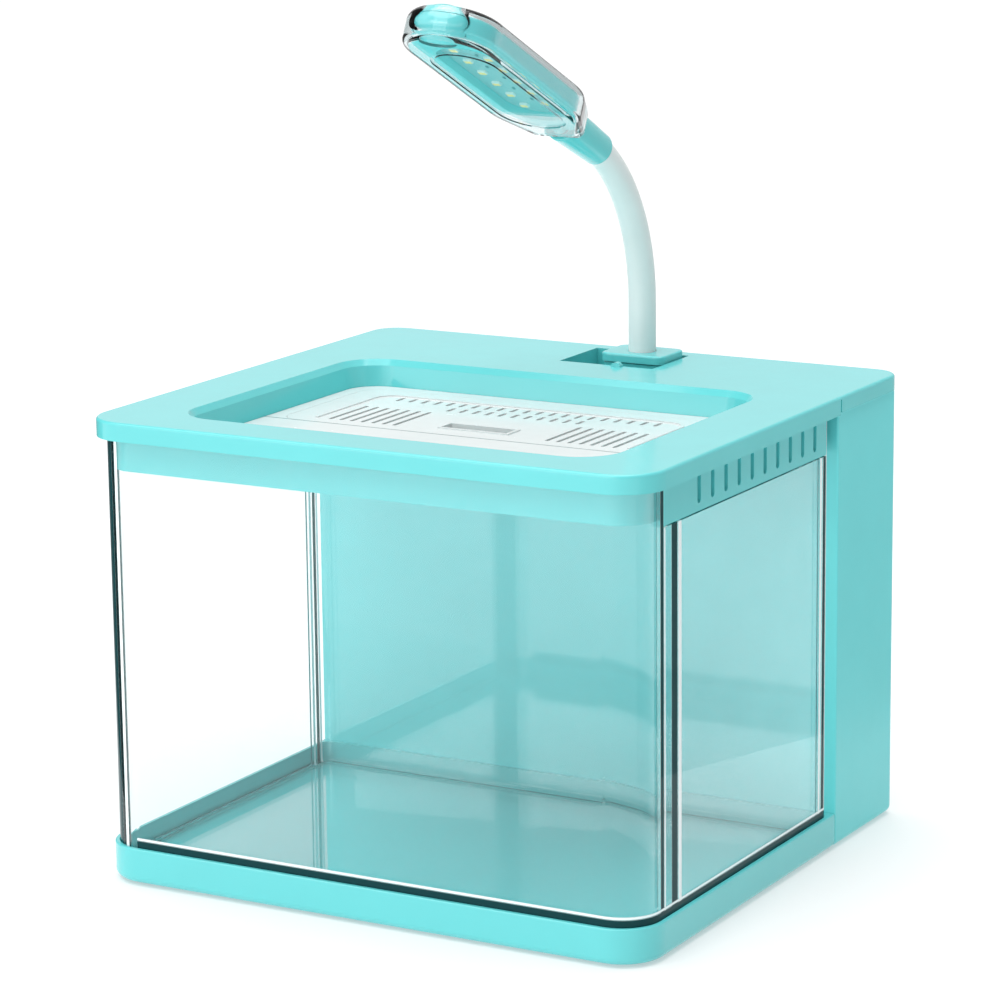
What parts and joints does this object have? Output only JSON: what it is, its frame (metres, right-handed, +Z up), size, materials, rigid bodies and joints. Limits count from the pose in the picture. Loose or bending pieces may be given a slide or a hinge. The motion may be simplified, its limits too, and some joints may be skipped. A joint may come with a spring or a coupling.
{
  "type": "nano aquarium",
  "caption": "Small clear tank in a coloured tray, with a filter housing behind it, a lift-off lid with a sunk tray, and a bendable lamp on a gooseneck.",
  "frame": {"origin": "on the table under the middle of the lid, at the underside of the feet", "axes": "+X to the object's right seen from the front, +Y from the front to the filter housing, +Z up"},
  "size_m": [0.25, 0.236, 0.3531],
  "materials": {
    "aqua_plastic": "glossy moulded aqua plastic",
    "clear_plastic": "clear polished plastic",
    "white_plastic": "satin, slightly translucent white",
    "white_sleeve": "smooth satin sleeve",
    "grey_rubber": "soft matte rubber",
    "steel": "plain steel",
    "black_plastic": "fine matte grain",
    "dark_plastic": "moulded plastic on a magnet",
    "filter_foam": "open-cell foam",
    "filter_floss": "matted fibre pad",
    "clear_hose": "soft translucent hose",
    "board": "pale circuit board",
    "led": "yellow phosphor under clear resin"
  },
  "bodies": {
    "base": {"base_tray": "aqua_plastic", "rubber_feet": "grey_rubber", "housing_screws": "steel", "tank_shell": "clear_plastic", "rear_housing": "aqua_plastic", "weir_grille": "aqua_plastic", "filter_basket": "white_plastic", "filter_sponge": "filter_foam", "pump_housing": "black_plastic", "pump_cover": "black_plastic", "impeller_shaft": "steel", "suction_cups": "grey_rubber", "riser_hose": "clear_hose", "return_nozzle": "aqua_plastic", "nozzle_grommet": "grey_rubber"},
    "impeller": {"pump_impeller": "dark_plastic"},
    "lid": {"lid": "aqua_plastic"},
    "tray": {"top_tray": "white_plastic", "filter_pad": "filter_floss"},
    "grille": {"tray_grille": "white_plastic"},
    "lamp_base": {"lamp_cap": "aqua_plastic", "lamp_plug": "aqua_plastic", "neck_sleeve_lower": "white_sleeve", "neck_core_lower": "steel"},
    "neck": {"neck_sleeve_upper": "white_sleeve", "neck_core_upper": "steel"},
    "head": {"neck_collar": "aqua_plastic", "head_shell": "clear_plastic", "head_reflector": "aqua_plastic", "led_board": "board", "lamp_leds": "led", "head_end_cap": "aqua_plastic"}
  },
  "joints": [
    {"name": "lid_lift", "type": "slide", "parent": "base", "child": "lid", "axis": [0, 0, 1], "range_m": [0, 0.08]},
    {"name": "tray_lift", "type": "slide", "parent": "lid", "child": "tray", "axis": [0, 0, 1], "range_m": [0, 0.03]},
    {"name": "grille_lift", "type": "slide", "parent": "tray", "child": "grille", "axis": [0, 0, 1], "range_m": [0, 0.02]},
    {"name": "lamp_pull", "type": "slide", "parent": "lid", "child": "lamp_base", "axis": [0, 0, 1], "range_m": [0, 0.025]},
    {"name": "neck_lean", "type": "hinge", "parent": "lamp_base", "child": "neck", "pos_m": [0.0135, 0.098, 0.203], "axis": [0, 1, 0], "range_deg": [-25, 25], "deforming": ["neck_sleeve_lower", "neck_core_lower"]},
    {"name": "neck_bend", "type": "hinge", "parent": "neck", "child": "head", "pos_m": [0.0135, 0.0858, 0.2564], "axis": [1, 0, 0], "range_deg": [-30, 30], "deforming": ["neck_sleeve_upper", "neck_core_upper"]},
    {"name": "impeller_spin", "type": "hinge", "parent": "base", "child": "impeller", "pos_m": [0.024, 0.0855, 0.0277], "axis": [1, 0, 0], "continuous": true}
  ]
}
